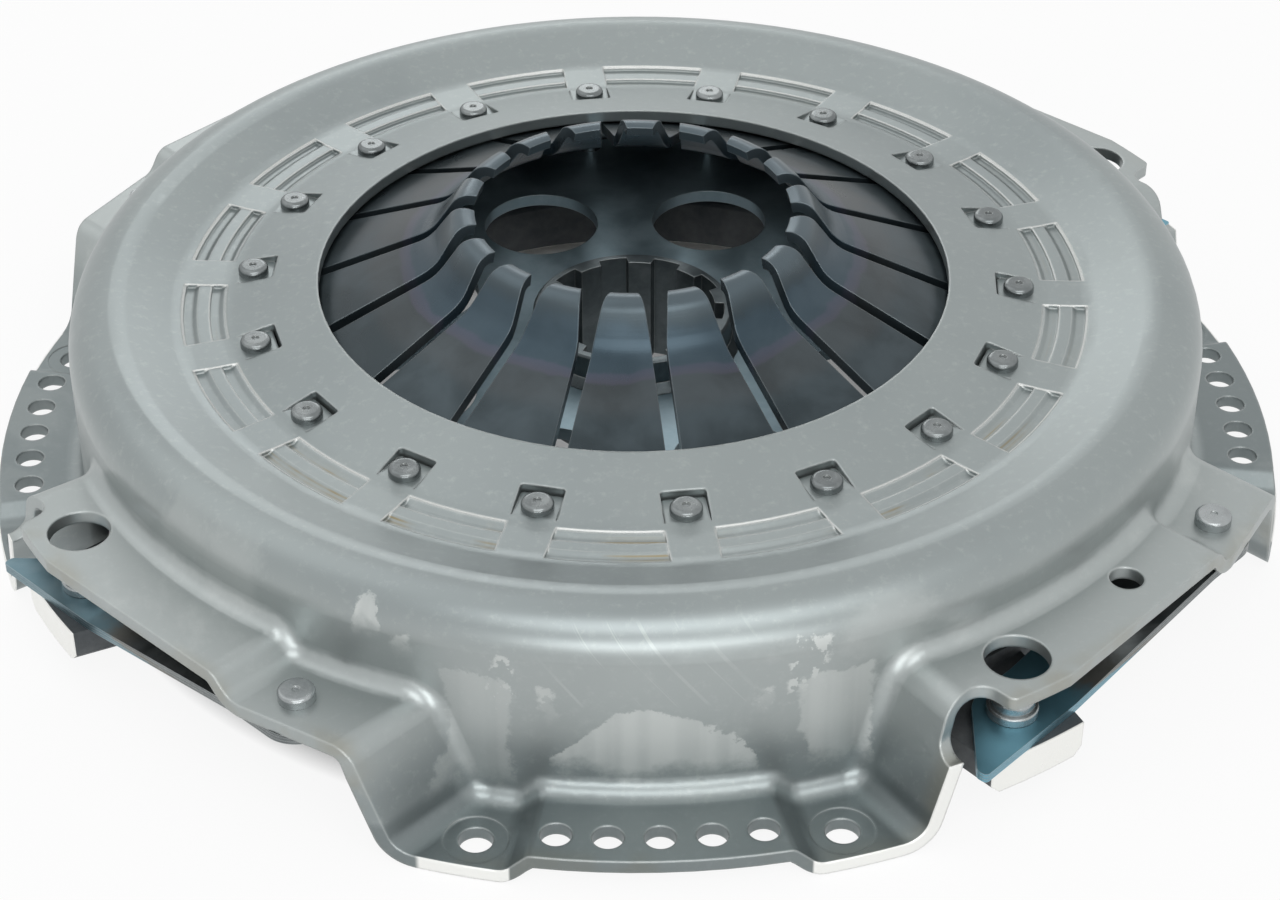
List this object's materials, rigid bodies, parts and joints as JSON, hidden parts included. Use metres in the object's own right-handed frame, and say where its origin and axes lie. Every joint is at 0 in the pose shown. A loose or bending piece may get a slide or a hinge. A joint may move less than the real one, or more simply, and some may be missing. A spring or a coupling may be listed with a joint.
{
  "type": "clutch pressure plate",
  "caption": "Push-type diaphragm clutch cover assembly: pressed cover on bolt flanges, sprung pressure plate on leaf straps, slotted release fingers and a splined drive hub.",
  "frame": {"origin": "on the rotation axis, in the plane that the eight bolt pads sit on", "axes": "+Z along the rotation axis from the flywheel to the release bearing; +X, +Y, -X and -Y each run through the middle of a bolt flange"},
  "size_m": [0.4596, 0.4596, 0.1018],
  "materials": {
    "cover_steel": "pressed steel with a satin grey-green phosphate coat",
    "spring_steel": "hardened spring steel, blue-grey temper colours",
    "wire_steel": "drawn wire",
    "rivet_steel": "cold-headed steel",
    "plate_steel": "sheet steel, satin",
    "hub_steel": "machined steel, oiled",
    "weld_steel": "weld bead",
    "plate_iron": "as cast, with turned faces",
    "strap_steel": "hardened spring strip, temper colours"
  },
  "bodies": {
    "cover_body": {"cover": "cover_steel", "diaphragm_spring": "spring_steel", "upper_pivot_ring": "wire_steel", "lower_pivot_ring": "wire_steel", "fulcrum_rivets": "rivet_steel", "hub_plate": "plate_steel", "splined_hub": "hub_steel", "hub_weld": "weld_steel", "cover_strap_rivets": "rivet_steel", "strap_1_leaf_1": "strap_steel", "strap_1_leaf_2": "strap_steel", "strap_1_leaf_3": "strap_steel", "strap_2_leaf_1": "strap_steel", "strap_2_leaf_2": "strap_steel", "strap_2_leaf_3": "strap_steel", "strap_3_leaf_1": "strap_steel", "strap_3_leaf_2": "strap_steel", "strap_3_leaf_3": "strap_steel", "strap_4_leaf_1": "strap_steel", "strap_4_leaf_2": "strap_steel", "strap_4_leaf_3": "strap_steel"},
    "plate_body": {"pressure_plate": "plate_iron", "lug_strap_washers": "rivet_steel", "lug_strap_rivets": "rivet_steel"}
  },
  "joints": [
    {"name": "plate_lift", "type": "slide", "parent": "cover_body", "child": "plate_body", "axis": [0, 0, 1], "range_m": [0, 0.007], "stiffness_N_per_m": 400000, "springref_m": -0.004, "deforming": ["diaphragm_spring", "strap_1_leaf_1", "strap_1_leaf_2", "strap_1_leaf_3", "strap_2_leaf_1", "strap_2_leaf_2", "strap_2_leaf_3", "strap_3_leaf_1", "strap_3_leaf_2", "strap_3_leaf_3", "strap_4_leaf_1", "strap_4_leaf_2", "strap_4_leaf_3"]}
  ]
}
